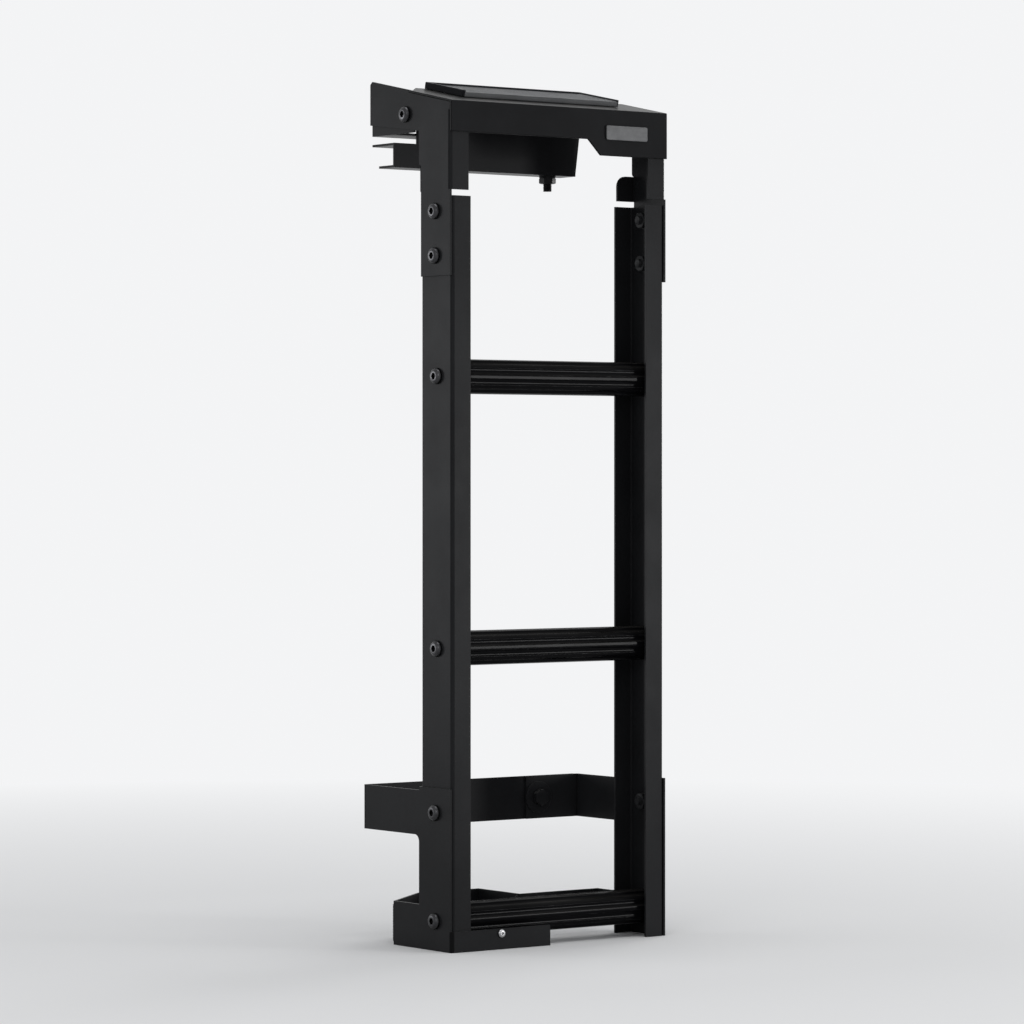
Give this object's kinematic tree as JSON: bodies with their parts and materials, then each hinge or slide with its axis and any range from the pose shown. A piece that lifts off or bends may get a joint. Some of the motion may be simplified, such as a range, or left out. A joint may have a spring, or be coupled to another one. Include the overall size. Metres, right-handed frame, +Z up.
{
  "type": "vehicle rear ladder",
  "caption": "Bolt-on rear ladder for an off-road vehicle: channel rails, grooved rungs, a sloping top step, a gutter clamp and lower body brackets.",
  "frame": {"origin": "on the flat face of the lower strap that bolts to the vehicle's body, midway between the rails and at the strap's middle height", "axes": "+Y forward out of the strap's face into the vehicle's body, +X to the right as seen from behind, +Z up along the rails"},
  "size_m": [0.2314, 0.1325, 0.7401],
  "materials": {
    "black_powder_coat": "fine-textured satin powder coat on folded steel sheet",
    "rung_coat": "satin coat on a grooved tube",
    "tread_grip": "matt dark grey moulded grip tread",
    "blank_plate": "brushed grey blank plate",
    "zinc_steel": "dark zinc-nickel plated steel"
  },
  "bodies": {
    "root": {"left_rail": "black_powder_coat", "right_rail": "black_powder_coat", "lower_rung": "rung_coat", "middle_rung": "rung_coat", "upper_rung": "rung_coat", "lower_left_plug": "zinc_steel", "lower_right_plug": "zinc_steel", "middle_left_plug": "zinc_steel", "middle_right_plug": "zinc_steel", "upper_left_plug": "zinc_steel", "upper_right_plug": "zinc_steel", "left_header_leg": "black_powder_coat", "right_header_leg": "black_powder_coat", "top_deck": "black_powder_coat", "step_tread": "tread_grip", "badge_plate": "blank_plate", "left_gutter_arm": "black_powder_coat", "right_gutter_arm": "black_powder_coat", "gutter_rest_plate": "black_powder_coat", "gutter_clamp_bar": "black_powder_coat", "left_clamp_bolt": "black_powder_coat", "right_clamp_bolt": "black_powder_coat", "left_lower_bracket": "black_powder_coat", "right_lower_bracket": "black_powder_coat", "foot_bracket": "black_powder_coat", "foot_cross_member": "black_powder_coat"}
  },
  "joints": []
}
